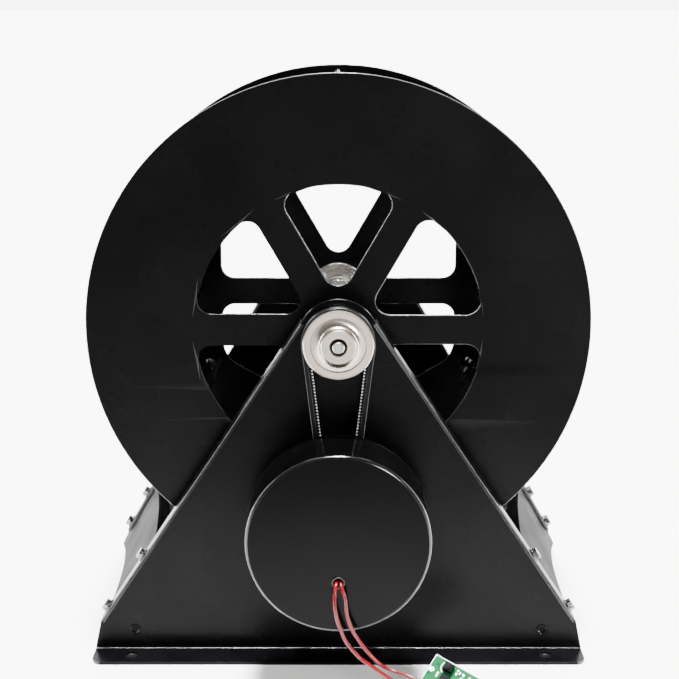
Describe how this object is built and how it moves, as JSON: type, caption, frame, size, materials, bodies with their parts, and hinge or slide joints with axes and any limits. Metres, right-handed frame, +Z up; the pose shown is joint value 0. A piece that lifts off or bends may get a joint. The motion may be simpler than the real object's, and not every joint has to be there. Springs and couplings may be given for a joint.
{
  "type": "water wheel generator",
  "caption": "Small sheet metal water wheel between two braced stands, with a toothed belt drive to a drum-shaped generator and a regulator board on two leads.",
  "frame": {"origin": "on the floor, below the middle of the stands and of the generator's depth", "axes": "+Z up, the wheel's axis along Y, the belt pulley and the generator towards -Y, +X to the right as seen from the pulley side"},
  "size_m": [0.3306, 0.2908, 0.3685],
  "materials": {
    "black_coat": "satin black powder coat",
    "bright_steel": "bright turned steel",
    "brushed_nickel": "fine brushed, dished face",
    "belt_rubber": "matt, toothed inside",
    "gloss_black": "smooth gloss black",
    "grommet_rubber": "matt",
    "red_wire": "smooth insulation",
    "green_board": "solder mask",
    "chip_black": "moulded"
  },
  "bodies": {
    "stand": {"front_stand": "black_coat", "rear_stand": "black_coat", "left_brace": "black_coat", "right_brace": "black_coat", "front_bearing": "bright_steel", "rear_bearing": "bright_steel", "drive_belt": "belt_rubber", "generator_pulley": "brushed_nickel", "generator_housing": "gloss_black", "generator_back_plate": "black_coat", "generator_spacer_1": "bright_steel", "generator_spacer_2": "bright_steel", "generator_spacer_3": "bright_steel", "generator_spacer_4": "bright_steel", "lead_grommet": "grommet_rubber", "left_lead": "red_wire", "right_lead": "red_wire", "regulator_board": "green_board", "board_inductor": "chip_black", "board_chip": "chip_black", "board_capacitor": "bright_steel"},
    "wheel": {"front_disc": "black_coat", "rear_disc": "black_coat", "vane_01": "black_coat", "vane_02": "black_coat", "vane_03": "black_coat", "vane_04": "black_coat", "vane_05": "black_coat", "vane_06": "black_coat", "vane_07": "black_coat", "vane_08": "black_coat", "vane_09": "black_coat", "vane_10": "black_coat", "vane_11": "black_coat", "vane_12": "black_coat", "front_hub": "bright_steel", "rear_hub": "bright_steel", "wheel_shaft": "bright_steel", "wheel_pulley": "brushed_nickel", "rear_shaft_collar": "bright_steel"}
  },
  "joints": [
    {"name": "wheel_spin", "type": "hinge", "parent": "stand", "child": "wheel", "pos_m": [0, 0.01825, 0.2085], "axis": [0, 1, 0], "continuous": true}
  ]
}
